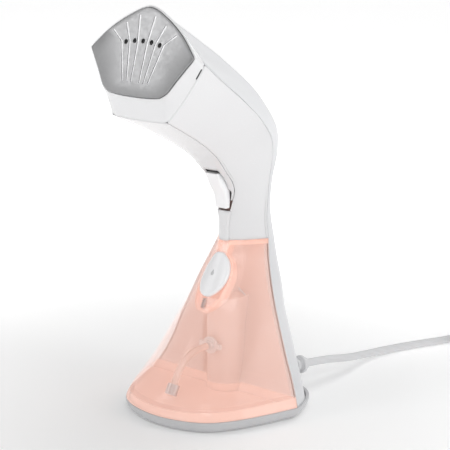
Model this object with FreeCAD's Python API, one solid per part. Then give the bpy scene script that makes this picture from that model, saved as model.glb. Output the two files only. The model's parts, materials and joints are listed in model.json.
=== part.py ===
"""Hand-held garment steamer with a detachable water tank, standing on its foot.

Millimetres. +Z is up, the heated plate faces -Y, and the object is symmetric about the
plane x = 0. The origin is on the resting surface, below the middle of the steamer.
"""
import FreeCAD, Part
import math
import os

V = FreeCAD.Vector

# ---------------------------------------------------------------- driving dimensions
WALL = 2.2                  # shell thickness
SECTION_STEP = 9.0          # distance between the sections of a sculpted shell
GAP = 0.4                   # clearance between the tank and the body
FOOT_BASE = 0.8             # the foot stands this high on its rubber pads
FOOT_TOP = 10.0             # height of the grey foot
SEAM = 134.0                # height of the joint between the tank and the handle
PLATE_TILT = 18.0           # heated plate leans back from the vertical, degrees
PLATE_EARS = (-68.5, 295.0) # y, z of the plate's face at the line through its ears
PLATE_DOWN = 33.5           # from the ears line to the bottom of the plate
PLATE_UP = 34.5             # from the ears line to the apex
PLATE_HALF = 51.0           # half width at the ears
PLATE_THICK = 3.2
STEAM_HOLE_R = 1.7
STEAM_HOLE_PITCH = 8.2
TRIGGER_HALF = 6.2
TRIGGER_PIVOT = (24.5, 188.5)
BUTTON_SLOPE = 58.8         # the tank's nose under the button, degrees from horizontal
BUTTON_MID = (13.5, 108.5)
BUTTON_LONG = 19.0          # half length along the slope
BUTTON_HALF = 12.0          # half width
BUTTON_TRAVEL = 5.0
COLUMN_Y = 30.0             # centre of the pump column in plan
COLUMN_R = 15.5
COLUMN_TOP = 88.0
CONNECTOR_Z = 50.0          # height of the water connection between tank and pump
FILLER_Y = 43.5             # middle of the filler hole in the tank's roof
FILLER_R = 5.2
PIN_HALF = 12.0             # half length of the trigger's pin
PAD_R = 5.0
PAD_PLACES = [(-44, -22), (44, -22), (-50, 44), (50, 44)]
SCREW_PLACES = [(-24, -34), (24, -34), (-42, 58), (42, 58)]
GUARD_LENGTH = 30.0
CORD_D = 6.8
COIL_CENTRE = (126.0, 296.0)
COIL_R = 40.0               # radius of the coil at mid-turn
COIL_ROWS = 4

# y, z at the underside and at the back, then (half width, depth) of the underside's edge,
# of the crease beside the back cover and of the back cover's corner, and its rounding
HEAD_END = ((-71.0, 245.0), (-44.0, 320.0), (27.0, 1.0), (50.0, 46.5), (31.0, 62.5), 9.0)
BODY_STATIONS = [
    HEAD_END,
    ((-48.0, 233.0), (-13.0, 301.8), (24.0, 1.5), (46.0, 43.5), (30.5, 60.0), 8.0),
    ((-22.0, 219.0), (22.0, 279.3), (19.5, 1.8), (41.0, 42.0), (30.0, 60.5), 7.0),
    ((1.0, 203.5), (53.4, 252.6), (14.5, 2.0), (35.3, 42.5), (28.0, 61.5), 6.0),
    ((13.0, 190.5), (69.5, 220.5), (12.5, 2.5), (29.0, 45.0), (26.5, 60.0), 5.0),
    ((19.5, 183.0), (71.0, 201.7), (12.0, 3.0), (26.0, 38.5), (24.5, 51.0), 4.5),
    ((24.0, 175.0), (67.3, 184.2), (11.0, 3.0), (23.8, 32.0), (22.8, 41.0), 4.0),
    ((26.0, 163.0), (65.5, 165.8), (7.0, 1.5), (23.2, 28.5), (22.0, 36.3), 4.0),
    ((26.5, 149.0), (66.0, 149.0), (3.6, 0.4), (23.5, 26.5), (22.6, 36.5), 4.0),
    ((26.5, SEAM), (68.0, SEAM), (3.5, 0.3), (25.0, 27.0), (24.0, 38.5), 4.0)]

# height, crease (x, y), back corner (x, y), y at the back, rounding of the corner
SPINE_STATIONS = [
    (118.0, (30.0, 48.0), (28.0, 64.0), 68.8, 4.5),
    (98.0, (38.0, 42.0), (35.0, 62.5), 70.0, 6.0),
    (78.0, (46.0, 38.0), (40.0, 60.5), 71.5, 7.0),
    (59.0, (54.0, 35.0), (47.0, 60.0), 73.0, 8.5),
    (43.0, (60.0, 33.5), (53.0, 59.5), 74.5, 10.0),
    (26.0, (68.0, 31.0), (59.5, 58.0), 76.5, 11.0),
    (FOOT_TOP + 0.2, (76.6, 25.5), (65.5, 56.0), 78.2, 12.0)]

# height, y of the tank's front, crease (x, y)
TANK_STATIONS = [
    (FOOT_TOP + GAP, -57.6, (76.6, 25.0)),
    (17.0, -56.0, (73.0, 28.0)),
    (40.0, -37.0, (61.5, 33.5)),
    (62.0, -18.5, (53.0, 35.5)),
    (85.0, 0.5, (43.0, 39.5)),
    (98.0, 8.3, (38.0, 42.0)),
    (110.0, 16.0, (33.0, 45.0)),
    (122.0, 23.5, (28.5, 49.5)),
    (SEAM - 0.3, 26.5, (25.0, 53.5))]

# the foot's outline from the toe to the back, right half
FOOT_HALF = [(0, -58), (21, -55), (41, -46), (54, -31), (64, -11), (73, 13), (76.8, 26),
             (73.2, 39), (67.4, 53), (57.6, 64), (41, 72), (20, 77), (0, 78.6)]

# the free cord between its guard and the coil, and between the coil and the plug
CORD_LEAD = [(37, 90, 20.5), (41.5, 112, 19), (43.5, 141, 12.5), (40, 170, 6.6),
             (44, 203, 3.6), (58, 234, 3.6), (73, 262, 3.6), (82.6, 292, 3.6)]
CORD_TAIL = [(169.4, 292, 25.4), (161.5, 274.5, 29.8), (147, 260.5, 33), (127, 255, 34),
             (107, 259.5, 34), (93.5, 273, 34), (89, 292, 34)]


# ---------------------------------------------------------------- small tools
os.makedirs("parts", exist_ok=True)


def save(node, *shapes):
    """Write one sub-part, a single solid or a group of separate ones."""
    solids = [solid for shape in shapes for solid in shape.Solids]
    whole = solids[0] if len(solids) == 1 else Part.makeCompound(solids)
    whole.exportStep("parts/" + node + ".step")
    print("%-18s solids %2d  volume %9.1f  valid %s"
          % (node, len(solids), sum(s.Volume for s in solids), whole.isValid()))


def spline(points, closed=False):
    curve = Part.BSplineCurve()
    curve.interpolate(Points=points, PeriodicFlag=closed)
    return curve.toShape()


def line(start, end):
    return Part.makeLine(start, end)


def closed_wire(edges):
    return Part.Wire(Part.sortEdges(edges)[0])


def loft(wires, ruled=False):
    return Part.makeLoft(wires, True, ruled)


def box(low, high):
    size = [high[i] - low[i] for i in range(3)]
    return Part.makeBox(*size, V(*low))


def rod(start, end, radius):
    start = V(*start)
    axis = V(*end) - start
    return Part.makeCylinder(radius, axis.Length, start, axis)


def tube(start, end, outer, inner):
    return rod(start, end, outer).cut(rod(start, end, inner))


def prism_yz(outline, half):
    """A flat outline of (y, z) points, as thick as twice half, centred on x = 0."""
    points = [V(-half, y, z) for y, z in outline]
    face = Part.Face(Part.makePolygon(points + points[:1]))
    return face.extrude(V(2 * half, 0, 0))


def soften(shape, radius, wanted):
    """Round the edges that wanted() picks, or leave the shape if they cannot be."""
    edges = [edge for edge in shape.Edges if wanted(edge)]
    return shape.makeFillet(radius, edges) if edges else shape


def coil_spring(start, end, radius, wire_r, turns):
    """A compression spring between two points on its axis."""
    axis = V(*end) - V(*start)
    length = axis.Length
    helix = Part.makeHelix(length / turns, length, radius)
    section = Part.Wire(Part.makeCircle(wire_r, V(radius, 0, 0), V(0, 1, 0)))
    body = Part.Wire(helix.Edges).makePipeShell([section], True, True)
    turn = FreeCAD.Rotation(V(0, 0, 1), axis)
    body.Placement = FreeCAD.Placement(V(*start), turn)
    return body


def route_path(points):
    """Straight runs joined by tangent arcs, each as large as its two runs allow."""
    points = [V(*p) for p in points]
    edges = []
    radii = []
    last = points[0]
    for before, here, after in zip(points, points[1:], points[2:]):
        back = (before - here).normalize()
        on = (after - here).normalize()
        turn = math.pi - back.getAngle(on)
        shorter = min(before.distanceToPoint(here), here.distanceToPoint(after))
        reach = 0.45 * shorter
        radius = reach / math.tan(turn / 2)
        radii.append(radius)
        centre_way = (back + on).normalize()
        middle = here + centre_way * (radius / math.cos(turn / 2) - radius)
        edges.append(line(last, here + back * reach))
        edges.append(Part.Arc(here + back * reach, middle, here + on * reach).toShape())
        last = here + on * reach
    edges.append(line(last, points[-1]))
    return Part.Wire(edges), radii


def route_tube(points, diameter, name):
    path, radii = route_path(points)
    start = V(*points[0])
    way = V(*points[1]) - start
    section = Part.Wire(Part.makeCircle(diameter / 2, start, way))
    body = path.makePipeShell([section], True, True)
    expected = math.pi * diameter ** 2 / 4 * path.Length
    print("%s: length %.0f, volume ratio %.4f, radii %s" % (
        name, path.Length, body.Volume / expected, " ".join("%.0f" % r for r in radii)))
    return body


# ---------------------------------------------------------------- section outlines
def mirrored(points):
    return [(-x, t) for x, t in points]


def push(points, distance):
    """Move a closed outline of (x, t) points outwards; a negative distance goes in."""
    count = len(points)
    area = sum(points[i - 1][0] * points[i][1] - points[i][0] * points[i - 1][1]
               for i in range(count))
    side = 1 if area > 0 else -1
    moved = []
    for i, (x, t) in enumerate(points):
        before = points[i - 1]
        after = points[(i + 1) % count]
        dx, dt = after[0] - before[0], after[1] - before[1]
        length = math.hypot(dx, dt)
        moved.append((x + side * dt / length * distance, t - side * dx / length * distance))
    return moved


def toward(a, b, distance):
    length = math.dist(a, b)
    return (a[0] + (b[0] - a[0]) * distance / length, a[1] + (b[1] - a[1]) * distance / length)


def between(a, b, share, bulge=0.0):
    """A point between a and b, moved off their line by bulge, to the right of a-b."""
    dx, dt = b[0] - a[0], b[1] - a[1]
    length = math.hypot(dx, dt)
    return (a[0] + dx * share + dt / length * bulge, a[1] + dt * share - dx / length * bulge)


def back_half(crease, corner, depth, rounding):
    """From the crease round the back cover's corner to the back centre."""
    centre = (0.0, depth)
    return [crease, between(crease, corner, 0.5, 0.4), toward(corner, crease, rounding),
            toward(corner, centre, rounding),
            between(corner, centre, 0.55, 0.12 * (depth - corner[1])), centre]


def body_half(station):
    """The right half of a section of the head or handle, underside to back."""
    under, back, edge, crease, corner, rounding = station
    depth = math.dist(under, back)
    front = [(0.0, 0.0), (0.6 * edge[0], 0.3 * edge[1]), edge,
             between(edge, crease, 0.35, 1.5), between(edge, crease, 0.7, 1.2)]
    return front + back_half(crease, corner, depth, rounding)


EDGE, CREASE = 2, 5         # places of those points in body_half()


def body_rings(station):
    """Outer and inner closed outlines of one section of the head or handle, in space."""
    under, back = station[0], station[1]
    depth = math.dist(under, back)
    way = ((back[0] - under[0]) / depth, (back[1] - under[1]) / depth)
    half = body_half(station)
    ring = half + mirrored(half[1:-1])[::-1]
    place = lambda p: V(p[0], under[0] + way[0] * p[1], under[1] + way[1] * p[1])
    return [place(p) for p in ring], [place(p) for p in push(ring, -WALL)]


def spine_rings(station):
    """The same for the back cover below the handle, where its front is open."""
    height, crease, corner, depth, rounding = station
    half = back_half(crease, corner, depth, rounding)
    ring = [(0.0, crease[1])] + half + mirrored(half[:-1])[::-1]
    place = lambda p: V(p[0], p[1], height)
    return [place(p) for p in ring[1:]], [place(p) for p in push(ring, -WALL)[1:]]


def strip(outer, inner):
    """The closed section of a shell, between matching runs of two outlines."""
    return closed_wire([spline(outer), line(outer[-1], inner[-1]), spline(inner),
                        line(inner[0], outer[0])])


def ring_slice(ring, first, last):
    """Points first..last of a closed outline, where first may be negative."""
    return [ring[i % len(ring)] for i in range(first, last + 1)]


def slope_at(before, here, after, gap_in, gap_out):
    """Rate of change of a point along a row of sections, from its two neighbours."""
    rate_in = (here - before) * (1 / gap_in)
    rate_out = (after - here) * (1 / gap_out)
    return (rate_in * gap_out + rate_out * gap_in) * (1 / (gap_in + gap_out))


def even_rings(rings, spacing):
    """Add smoothly blended sections so that they follow each other at even distances."""
    count = len(rings)
    size = len(rings[0])
    gaps = [sum(a.distanceToPoint(b) for a, b in zip(rings[i], rings[i + 1])) / size
            for i in range(count - 1)]
    rates = []
    for i in range(count):
        if 0 < i < count - 1:
            rates.append([slope_at(a, b, c, gaps[i - 1], gaps[i])
                          for a, b, c in zip(rings[i - 1], rings[i], rings[i + 1])])
        else:
            low = min(i, count - 2)
            rates.append([(b - a) * (1 / gaps[low])
                          for a, b in zip(rings[low], rings[low + 1])])
    filled = []
    for i in range(count - 1):
        steps = max(1, round(gaps[i] / spacing))
        for step in range(steps):
            s = step / steps
            start, start_rate = 2 * s ** 3 - 3 * s ** 2 + 1, s ** 3 - 2 * s ** 2 + s
            end, end_rate = 3 * s ** 2 - 2 * s ** 3, s ** 3 - s ** 2
            filled.append([a * start + va * (gaps[i] * start_rate)
                           + b * end + vb * (gaps[i] * end_rate)
                           for a, b, va, vb in zip(rings[i], rings[i + 1],
                                                   rates[i], rates[i + 1])])
    return filled + [rings[-1]]


# ---------------------------------------------------------------- head and handle shells
def handle_shells():
    rings = [body_rings(station) for station in BODY_STATIONS]
    count = len(rings[0][0])
    spine = [spine_rings(station) for station in SPINE_STATIONS]

    def shell(first, last, below=()):
        outer = [ring_slice(o, first, last) for o, i in rings] + [o for o, i in below]
        inner = [ring_slice(i, first, last) for o, i in rings] + [i for o, i in below]
        both = even_rings([o + i for o, i in zip(outer, inner)], SECTION_STEP)
        half = len(outer[0])
        return loft([strip(ring[:half], ring[half:]) for ring in both], True)

    under = shell(-EDGE, EDGE)
    right = shell(EDGE, CREASE)
    back = shell(CREASE, count - CREASE, spine)
    return under, right, back


def plate_outline(margin=0.0, scale=1.0):
    """Rounded pentagon in the plate's plane: x, and height over the ears line."""
    half = [(0.0, -PLATE_DOWN), (14.0, -PLATE_DOWN + 0.3), (25.0, -PLATE_DOWN + 1.4),
            (31.2, -PLATE_DOWN + 5.2), (35.6, -PLATE_DOWN + 11.6), (43.5, -10.6),
            (PLATE_HALF, 0.0), (35.5, 15.8), (17.5, 27.8), (0.0, PLATE_UP)]
    ring = half + mirrored(half[1:-1])[::-1]
    return push([(x * scale, t * scale) for x, t in ring], margin)


def on_plate(point, behind=0.0):
    """A point of the plate's plane in space, or a distance behind it."""
    tilt = math.radians(PLATE_TILT)
    y = PLATE_EARS[0] + point[1] * math.sin(tilt) + behind * math.cos(tilt)
    z = PLATE_EARS[1] + point[1] * math.cos(tilt) - behind * math.sin(tilt)
    return V(point[0], y, z)


def plate_wire(margin, behind, scale=1.0):
    ring = [on_plate(p, behind) for p in plate_outline(margin, scale)]
    low = spline(ring_slice(ring, -2, 2))
    right = spline(ring_slice(ring, 2, 6))
    top = spline(ring_slice(ring, 6, len(ring) - 6))
    left = spline(ring_slice(ring, len(ring) - 6, len(ring) - 2))
    return closed_wire([low, right, top, left])


def body_wire(ring):
    count = len(ring)
    low = spline(ring_slice(ring, -EDGE, EDGE))
    right = spline(ring_slice(ring, EDGE, CREASE))
    top = spline(ring_slice(ring, CREASE, count - CREASE))
    left = spline(ring_slice(ring, count - CREASE, count - EDGE))
    return closed_wire([low, right, top, left])


def plate_prism(margin, front, back, scale=1.0):
    """A solid with the plate's outline between two distances behind its face."""
    face = Part.Face(plate_wire(margin, front, scale))
    way = on_plate((0, 0), back) - on_plate((0, 0), front)
    return face.extrude(way)


def head_parts():
    outer, inner = body_rings(HEAD_END)
    rim = 0.9
    bezel = loft([body_wire(outer), plate_wire(rim, 1.2)], True)
    hollow = loft([body_wire(inner), plate_wire(rim - 1.6, 5.0)], True)
    mouth = plate_prism(-0.4, -1.0, 5.2)
    bezel = bezel.cut(hollow).cut(mouth)
    plate = plate_prism(-0.8, 0.0, PLATE_THICK)
    for step in range(-2, 3):
        middle = (step * STEAM_HOLE_PITCH, 8.4 - 0.45 * step * step)
        plate = plate.cut(rod(on_plate(middle, -1), on_plate(middle, 4), STEAM_HOLE_R))
    for side in (-1, 1):
        for number in range(3):
            plate = plate.cut(steam_groove(side, number))
    gasket = plate_prism(-1.6, PLATE_THICK, 5.0).cut(plate_prism(-6.0, 3.0, 5.2))
    return bezel, plate, gasket


def steam_groove(side, number):
    """A shallow groove that fans out from the row of holes, number 0 nearest the middle."""
    foot = (side * (4.0 + 4.2 * number), -22.0)
    knee = (side * (4.6 + 8.0 * number), 7.0)
    top = (side * (7.5 + 11.5 * number), 27.0 - 6.2 * number)
    depth = 0.4
    pieces = []
    for low, high, half in ((foot, knee, 0.6), (knee, top, 1.0)):
        corners = [(low[0] - half, low[1]), (low[0] + half, low[1]),
                   (high[0] + half, high[1]), (high[0] - half, high[1])]
        points = [on_plate(p, -1) for p in corners]
        face = Part.Face(Part.makePolygon(points + points[:1]))
        pieces.append(face.extrude(on_plate((0, 0), depth) - on_plate((0, 0), -1)))
    return pieces[0].fuse(pieces[1])


def boiler_parts():
    """Aluminium steam chamber behind the plate, with what is fixed to it."""
    chamber = plate_prism(0.0, PLATE_THICK, 15.0, 0.74)
    chamber = chamber.cut(plate_prism(0.0, 5.2, 15.1, 0.64))
    cover = plate_prism(0.0, 15.0, 17.4, 0.74)
    run, bend = 13.0, 11.0
    heater = []
    for side in (-1, 1):
        heater.append(rod(on_plate((side * run, -14), 20.6), on_plate((side * run, 6), 20.6), 3.0))
        heater.append(rod(on_plate((side * run, -14), 20.6), on_plate((side * run, -17), 20.6), 1.2))
    arch = Part.makeTorus(run, 3.0, on_plate((0, 6), 20.6), on_plate((0, 0), 1) - on_plate((0, 0), 0))
    keep = Part.makeBox(60, 60, 40, V(-30, -30, 0))
    keep.Placement = FreeCAD.Placement(on_plate((0, 6), 20.6), FreeCAD.Rotation(V(1, 0, 0), -PLATE_TILT))
    heater.append(arch.common(keep))
    element = heater[0]
    for piece in heater[1:]:
        element = element.fuse(piece)
    element = element.removeSplitter()
    thermostat = rod(on_plate((0, -9), 17.4), on_plate((0, -9), 23.5), 7.0)
    for side in (-1, 1):
        tab = rod(on_plate((side * 4, -9), 23.5), on_plate((side * 4, -9), 27.5), 1.2)
        thermostat = thermostat.fuse(tab)
    fuse = rod(on_plate((-6, 9.5), 19.6), on_plate((6, 9.5), 19.6), 2.2)
    inlet = tube(tuple(on_plate((0, -21), 17.4)), tuple(on_plate((0, -21), 27.0)), 3.6, 1.6)
    return chamber, cover, element, thermostat, fuse, inlet


# ---------------------------------------------------------------- tank
TANK_LOW = [(0.273, 0.036), (0.532, 0.145), (0.70, 0.325), (0.83, 0.566), (0.948, 0.855)]
TANK_HIGH = [(0.14, 0.012), (0.30, 0.18), (0.50, 0.37), (0.70, 0.58), (0.88, 0.82)]


def tank_ring(station, margin, rear_margin):
    """Outline of the tank at one height, from one rear corner round the front to the other:
    round at the toe, a prow near the handle."""
    height, front, crease = station
    share = max(0.0, (height - FOOT_TOP) / (SEAM - FOOT_TOP)) ** 1.5
    side = crease[0] - 0.2 + 1.3 * margin
    rear = crease[1] - GAP + rear_margin
    front = front - margin
    half = [(0.0, front)]
    for (x0, y0), (x1, y1) in zip(TANK_LOW, TANK_HIGH):
        x = x0 + (x1 - x0) * share
        y = y0 + (y1 - y0) * share
        half.append((x * side, front + y * (rear - front)))
    half.append((side, rear))
    return mirrored(half[1:])[::-1] + half


def tank_form(margin, rear_margin=0.0, stations=TANK_STATIONS, low=None, high=None):
    """The tank's outer form, moved out by margin, optionally with other end heights."""
    rings = []
    for place, station in enumerate(stations):
        height = station[0]
        if low is not None and place == 0:
            height = low
        if high is not None and place == len(stations) - 1:
            height = high
        rings.append([V(x, y, height) for x, y in tank_ring(station, margin, rear_margin)])
    return loft([closed_wire([spline(points), line(points[-1], points[0])])
                 for points in even_rings(rings, SECTION_STEP)])


def slope_place():
    return FreeCAD.Placement(V(0, *BUTTON_MID), FreeCAD.Rotation(V(1, 0, 0), BUTTON_SLOPE))


def slope_oval(long_half, half, shift=0.0):
    """An oval prism square to the tank's nose, moved down the slope by shift."""
    oval = Part.Ellipse(V(0, 0, 0), long_half, half).toShape()
    face = Part.Face(Part.Wire(oval))
    face.rotate(V(0, 0, 0), V(0, 0, 1), 90)
    body = face.extrude(V(0, 0, 30))
    body.translate(V(0, -shift, -14))
    body.Placement = slope_place().multiply(body.Placement)
    return body


def slope_box(low, high):
    body = box(low, high)
    body.Placement = slope_place().multiply(body.Placement)
    return body


def column(radius, rear, low, high):
    """Upright form with a half-round front, from the pump column's centre to rear."""
    front = Part.makeCylinder(radius, high - low, V(0, COLUMN_Y, low))
    back = box((-radius, COLUMN_Y, low), (radius, rear, high))
    return front.fuse(back).removeSplitter()


def tank_parts():
    nose = TANK_STATIONS[3:]
    outside = tank_form(0.0)
    cavity = [(19.0, -54.4, (72.0, 28.2))] + TANK_STATIONS[2:]
    water = tank_form(-WALL, -WALL, cavity, high=SEAM - 0.3 - WALL)
    shaft = column(COLUMN_R + 1.5, 60, 0, COLUMN_TOP + 2.0)
    sleeve = column(COLUMN_R + 1.5 + WALL, 60, 0, COLUMN_TOP + 2.0 + WALL)
    seat_oval = slope_oval(BUTTON_LONG + 7.5, BUTTON_HALF + 2.6, 5.0)
    pocket = slope_oval(BUTTON_LONG + 5.6, BUTTON_HALF + 0.7, 5.0)
    chute = slope_box((-5.4, 8, -8.0), (5.4, 40, 5.0))
    groove = slope_box((-3.6, 8, -6.2), (3.6, 42, -1.8))
    filler = rod((0, FILLER_Y, SEAM - 6), (0, FILLER_Y, SEAM), FILLER_R)
    port = rod((0, 0, CONNECTOR_Z), (0, 20, CONNECTOR_Z), 4.2)
    shell = outside.cut(water.cut(sleeve)).cut(shaft).cut(seat_oval).cut(chute)
    shell = shell.cut(filler).cut(port)
    skin = tank_form(-0.02, 0.0, nose)
    deep = tank_form(-4.2, 0.0, nose)
    deeper = tank_form(-6.2, 0.0, nose, low=58)
    seat = skin.cut(deeper).common(seat_oval).cut(pocket.cut(deep))
    seat = seat.fuse(skin.common(chute)).cut(groove).cut(pocket.cut(deep))
    around = tank_form(4.0, 0.0, nose).cut(tank_form(-1.8, 0.4, nose, low=58, high=140))
    around = around.common(slope_oval(BUTTON_LONG + 0.6, BUTTON_HALF + 0.6))
    down = V(0, -math.cos(math.radians(BUTTON_SLOPE)), -math.sin(math.radians(BUTTON_SLOPE)))
    for share in (0.0, 0.5, 1.0):
        seat = seat.cut(around.translated(down * (BUTTON_TRAVEL * share)))
    button = tank_form(2.6, 0.0, nose).cut(tank_form(-1.0, 1.0, nose, low=58, high=140))
    button = button.common(slope_oval(BUTTON_LONG, BUTTON_HALF))
    tongue = slope_box((-2.8, 10, -4.2), (2.8, 29.4, -2.6))
    tongue = tongue.fuse(slope_box((-2.8, 10, -4.2), (2.8, 13.5, 0.2))).cut(button)
    low = slope_box((-2.0, -22.0, -3.0), (2.0, -19.4, 0.0)).CenterOfMass
    spring_end = slope_box((-1, -28.6, -2.6), (1, -28.4, -0.6)).CenterOfMass
    spring = coil_spring(tuple(spring_end), tuple(low), 1.8, 0.35, 5)
    return shell, seat, button, tongue, spring


def water_path():
    """What the water passes inside the tank: valve, hose, strainer and filler plug."""
    valve_y = COLUMN_Y - COLUMN_R - 1.5 - WALL
    valve = rod((0, valve_y - 5, CONNECTOR_Z), (0, valve_y + WALL - 0.3, CONNECTOR_Z), 4.2)
    flange = rod((0, valve_y - 2, CONNECTOR_Z), (0, valve_y, CONNECTOR_Z), 7.0)
    wing = box((-11, valve_y - 2, CONNECTOR_Z - 2), (11, valve_y, CONNECTOR_Z + 2))
    nipple = rod((0, valve_y - 13, CONNECTOR_Z), (0, valve_y - 4, CONNECTOR_Z), 1.6)
    bore = rod((0, valve_y - 3, CONNECTOR_Z), (0, valve_y + 6, CONNECTOR_Z), 2.7)
    thin = rod((0, valve_y - 14, CONNECTOR_Z), (0, valve_y, CONNECTOR_Z), 0.9)
    valve = valve.fuse(flange).fuse(wing).fuse(nipple).cut(bore).cut(thin)
    route = [(0, valve_y - 6, CONNECTOR_Z), (0, -14, 50), (0, -28, 41), (0, -35, 29)]
    path, radii = route_path(route)
    start = V(*route[0])
    ring = [Part.Wire(Part.makeCircle(r, start, V(0, -1, 0))) for r in (2.7, 1.62)]
    hose = path.makePipeShell([ring[0]], True, True).cut(path.makePipeShell([ring[1]], True, True))
    end = V(*route[-1])
    way = (end - V(*route[-2])).normalize()
    weight = Part.makeCylinder(4.8, 8.5, end, way)
    weight = weight.cut(Part.makeCylinder(1.6, 4, end, way))
    plug = rod((0, FILLER_Y, SEAM - 5.5), (0, FILLER_Y, SEAM - 1.0), FILLER_R)
    lip = rod((0, FILLER_Y, SEAM - 5.5), (0, FILLER_Y, SEAM - 0.4 - WALL), FILLER_R + 0.6)
    return valve, hose, weight, plug.fuse(lip)


# ---------------------------------------------------------------- foot and spine
def foot_ring(margin, height):
    half = [(float(x), float(y)) for x, y in FOOT_HALF]
    ring = push(half + mirrored(half[1:-1])[::-1], margin)
    return closed_wire([spline([V(x, y, height) for x, y in ring], True)])


def foot_parts():
    outside = loft([foot_ring(-5.0, FOOT_BASE), foot_ring(-2.2, 3.2), foot_ring(-0.5, 6.6),
                    foot_ring(0.0, FOOT_TOP)])
    inside = loft([foot_ring(-8.0, 3.6), foot_ring(-4.0, 7.0), foot_ring(-3.0, FOOT_TOP + 1)])
    foot = outside.cut(inside)
    deck = Part.Face(foot_ring(-4.4, FOOT_TOP - 2.0)).extrude(V(0, 0, 2.0))
    pads = []
    for x, y in PAD_PLACES:
        pads.append(rod((x, y, 0), (x, y, 2.4), PAD_R))
        foot = foot.cut(rod((x, y, -1), (x, y, 2.4), PAD_R))
    screws = []
    for x, y in SCREW_PLACES:
        screws.append(rod((x, y, 1.4), (x, y, 3.2), 3.0).fuse(rod((x, y, 3.2), (x, y, 9.0), 1.4)))
        foot = foot.cut(rod((x, y, 0), (x, y, 3.2), 3.0)).cut(rod((x, y, 3), (x, y, 10), 1.4))
        deck = deck.cut(rod((x, y, 7), (x, y, 11), 1.4))
    return foot, deck, pads, screws


def spine_panel():
    """Front wall of the back cover's lower half, behind the tank."""
    wires = []
    rows = [(SEAM - 0.2, (25.0, 53.4))] + [(h, crease) for h, crease, *rest in SPINE_STATIONS]
    for height, (x, y) in rows:
        half, near, far = x - 2.6, y + 0.5, y + 2.5
        corners = [V(-half, near, height), V(half, near, height), V(half - 1.2, far, height),
                   V(1.2 - half, far, height)]
        wires.append(Part.makePolygon(corners + corners[:1]))
    panel = loft(wires, True)
    mouth = column(COLUMN_R - 1.8, 80, FOOT_TOP + 2.0, COLUMN_TOP - 1.8)
    return panel.cut(mouth)


def pump_parts():
    """Column cover and the solenoid pump inside it, its plunger moving along Z."""
    low = FOOT_TOP + 0.4
    outer = column(COLUMN_R, 60, low, COLUMN_TOP)
    inner = column(COLUMN_R - 1.8, 80, low + 1.8, COLUMN_TOP - 1.8)
    housing = outer.common(tank_form(0.0, 0.3)).cut(inner)
    nozzle_y = COLUMN_Y - COLUMN_R - 1.5 - WALL - 2.5
    nozzle_hole = rod((0, nozzle_y, CONNECTOR_Z), (0, COLUMN_Y, CONNECTOR_Z), 2.2)
    housing = housing.cut(nozzle_hole)
    centre_y = COLUMN_Y + 1.0
    core = tube((0, centre_y, 24), (0, centre_y, 70), 5.0, 3.6)
    core = core.fuse(tube((0, centre_y, 18), (0, centre_y, 24.5), 5.0, 1.4))
    core = core.fuse(tube((0, centre_y, 67), (0, centre_y, 70.5), 5.0, 1.0))
    core = core.fuse(tube((0, centre_y, 70), (0, centre_y, 76), 2.0, 1.0))
    coil = tube((0, centre_y, 38), (0, centre_y, 66), 11.5, 5.0)
    frame = box((-12.6, centre_y - 5.5, 35.4), (12.6, centre_y + 5.5, 68.6))
    frame = frame.cut(box((-11.6, centre_y - 6, 38), (11.6, centre_y + 6, 66)))
    frame = frame.cut(rod((0, centre_y, 30), (0, centre_y, 72), 5.0))
    plunger = rod((0, centre_y, 40), (0, centre_y, 60), 3.5)
    spring = coil_spring((0, centre_y, 25.2), (0, centre_y, 39.6), 2.7, 0.4, 6)
    connector = tube((0, nozzle_y, CONNECTOR_Z), (0, COLUMN_Y - COLUMN_R + 2.2, CONNECTOR_Z), 2.2, 1.0)
    seal_y = COLUMN_Y - COLUMN_R - 1.4
    seal = tube((0, seal_y, CONNECTOR_Z), (0, seal_y + 1.3, CONNECTOR_Z), 3.6, 2.2)
    return housing, core, coil, frame, plunger, spring, connector, seal


# ---------------------------------------------------------------- trigger and switch
def trigger_parts():
    y, z = TRIGGER_PIVOT
    face = [(10.6, 191.0), (13.6, 184.0), (18.2, 177.0), (21.6, 171.5), (22.8, 166.5),
            (23.4, 160.8)]
    rear = [(27.0, 160.8), (28.0, 166.0), (28.0, 178.0), (27.6, 185.0), (27.6, 191.4),
            (20.0, 192.0), (13.0, 191.6)]
    body = prism_yz(face + rear, TRIGGER_HALF)
    nudge = box((-3, 27.9, z - 12), (3, 30.2, z - 9.5))
    body = body.fuse(nudge).cut(rod((-10, y, z), (10, y, z), 1.56))
    pin = rod((-PIN_HALF, y, z), (PIN_HALF, y, z), 1.5)
    spring = coil_spring((0, 28.5, 167.5), (0, 39.6, 167.5), 3.0, 0.4, 5)
    ledge = box((-9, 40.1, 163.0), (9, 42.0, 186.0))
    switch = box((-3.2, 34.0, 172.0), (3.2, 40.1, 184.0))
    hole = rod((0, 33, z - 10.8), (0, 39, z - 10.8), 1.2)
    switch = switch.cut(hole)
    plunger = rod((0, 30.5, z - 10.8), (0, 36.4, z - 10.8), 1.1)
    return body, pin, spring, ledge, switch, plunger


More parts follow.
